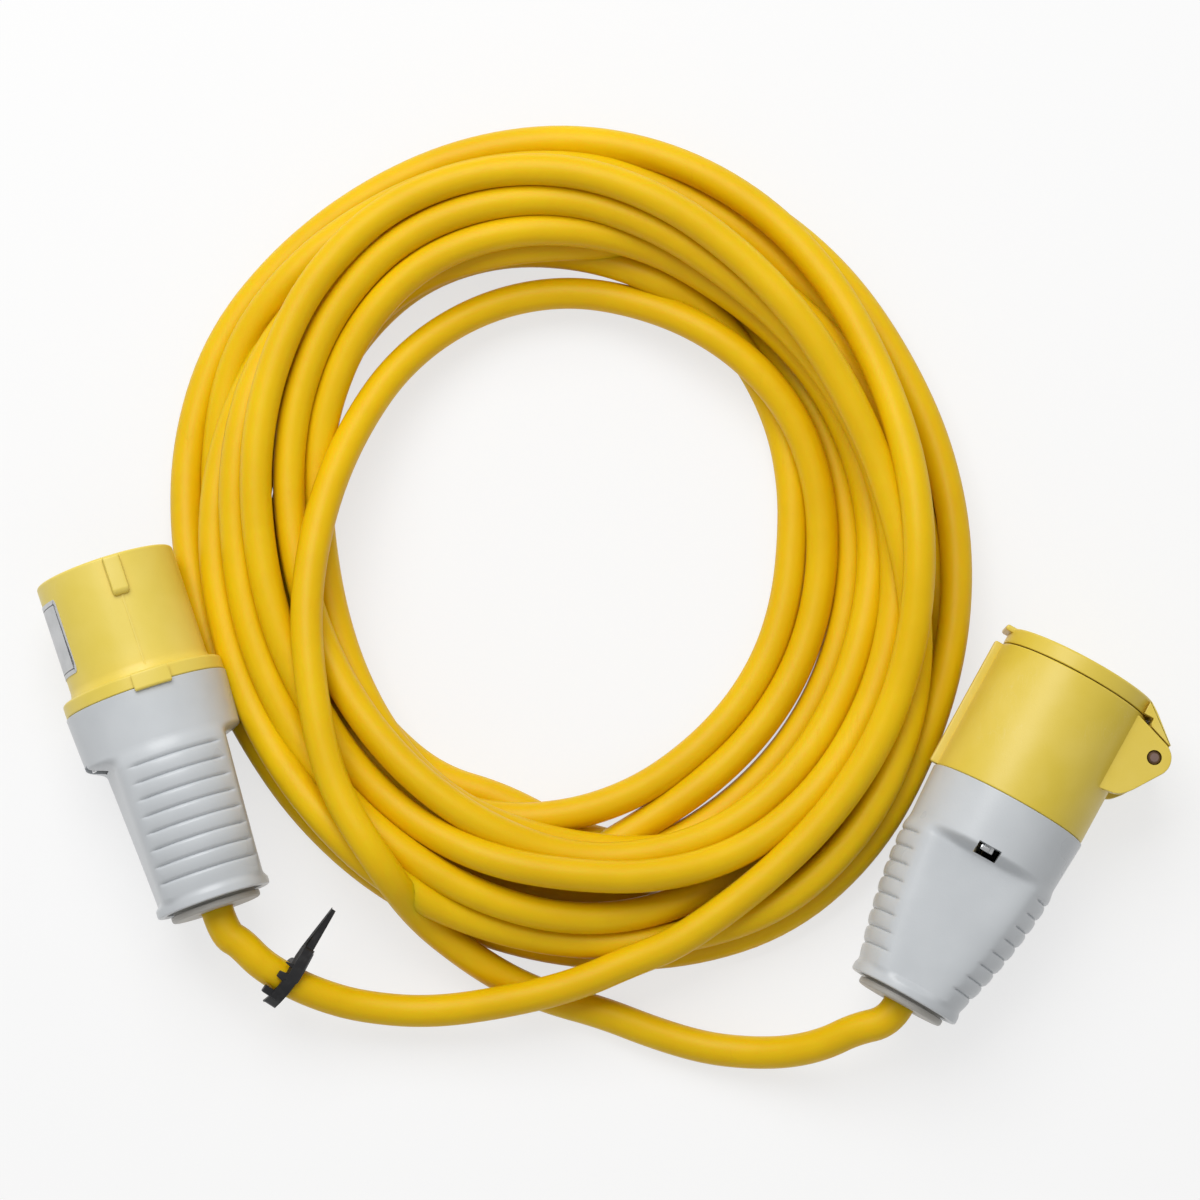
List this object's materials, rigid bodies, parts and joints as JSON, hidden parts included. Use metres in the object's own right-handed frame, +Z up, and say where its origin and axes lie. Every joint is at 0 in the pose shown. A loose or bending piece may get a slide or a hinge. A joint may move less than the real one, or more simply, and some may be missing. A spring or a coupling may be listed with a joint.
{
  "type": "extension lead",
  "caption": "Coiled round cord with a three-pin plug in a shroud at one end and a connector with a sprung hinged lid at the other.",
  "frame": {"origin": "on the surface the lead lies on, under the middle of the box round the plug and the connector", "axes": "+X from the plug to the connector, +Y from the cord's exits towards the open mouths and the coil, +Z up"},
  "size_m": [0.3476, 0.293, 0.0533],
  "materials": {
    "yellow_plastic": "satin moulded polyamide",
    "insert_plastic": "matt moulding",
    "grey_plastic": "satin light grey moulding",
    "collar_plastic": "matt beige grey moulding",
    "clamp_plastic": "matt moulding",
    "contact_brass": "nickel plated, bright",
    "plated_steel": "zinc plated",
    "hinge_steel": "dull grey brown",
    "seal_rubber": "matt",
    "cord_sheath": "satin flexible sheath",
    "core_green_yellow": "satin",
    "core_brown": "satin",
    "core_blue": "satin",
    "strap_rubber": "matt",
    "label_foil": "silver grey foil"
  },
  "bodies": {
    "lead": {"cable_tie": "strap_rubber", "connector_blue_core": "core_blue", "connector_body": "yellow_plastic", "connector_brown_core": "core_brown", "connector_clamp_screws": "plated_steel", "connector_contact_carrier": "insert_plastic", "connector_cord_clamp": "clamp_plastic", "connector_earth_sleeve": "contact_brass", "connector_end_collar": "collar_plastic", "connector_gland_seal": "seal_rubber", "connector_green_yellow_core": "core_green_yellow", "connector_grip": "grey_plastic", "connector_hinge_pin": "hinge_steel", "connector_lid_spring": "plated_steel", "connector_line_sleeve_a": "contact_brass", "connector_line_sleeve_b": "contact_brass", "connector_sheath_end": "cord_sheath", "connector_terminal_screws": "plated_steel", "cord_coil": "cord_sheath", "cord_connector_lead": "cord_sheath", "cord_plug_lead": "cord_sheath", "plug_blue_core": "core_blue", "plug_brown_core": "core_brown", "plug_clamp_screws": "plated_steel", "plug_cord_clamp": "clamp_plastic", "plug_earth_pin": "contact_brass", "plug_end_collar": "collar_plastic", "plug_gland_seal": "seal_rubber", "plug_green_yellow_core": "core_green_yellow", "plug_grip": "grey_plastic", "plug_label": "label_foil", "plug_line_pin_a": "contact_brass", "plug_line_pin_b": "contact_brass", "plug_pin_carrier": "insert_plastic", "plug_sheath_end": "cord_sheath", "plug_shroud": "yellow_plastic", "plug_terminal_screws": "plated_steel"},
    "lid": {"connector_lid": "yellow_plastic", "connector_lid_seal": "seal_rubber"},
    "plug_clip": {"plug_release_clip": "plated_steel"},
    "connector_clip": {"connector_release_clip": "plated_steel"}
  },
  "joints": [
    {"name": "lid_hinge", "type": "hinge", "parent": "lead", "child": "lid", "pos_m": [0.16836, 0.00707, 0.0256], "axis": [0, 0, -1], "range_deg": [0, 105], "stiffness_Nm_per_rad": 0.02, "springref_deg": -34.38},
    {"name": "plug_latch", "type": "slide", "parent": "lead", "child": "plug_clip", "axis": [0.9268, 0.3173, -0.2011], "range_m": [0, 0.0012], "stiffness_N_per_m": 2000, "springref_m": -0.001},
    {"name": "connector_latch", "type": "slide", "parent": "lead", "child": "connector_clip", "axis": [0, 0, -1], "range_m": [0, 0.0012], "stiffness_N_per_m": 2000, "springref_m": -0.001}
  ]
}
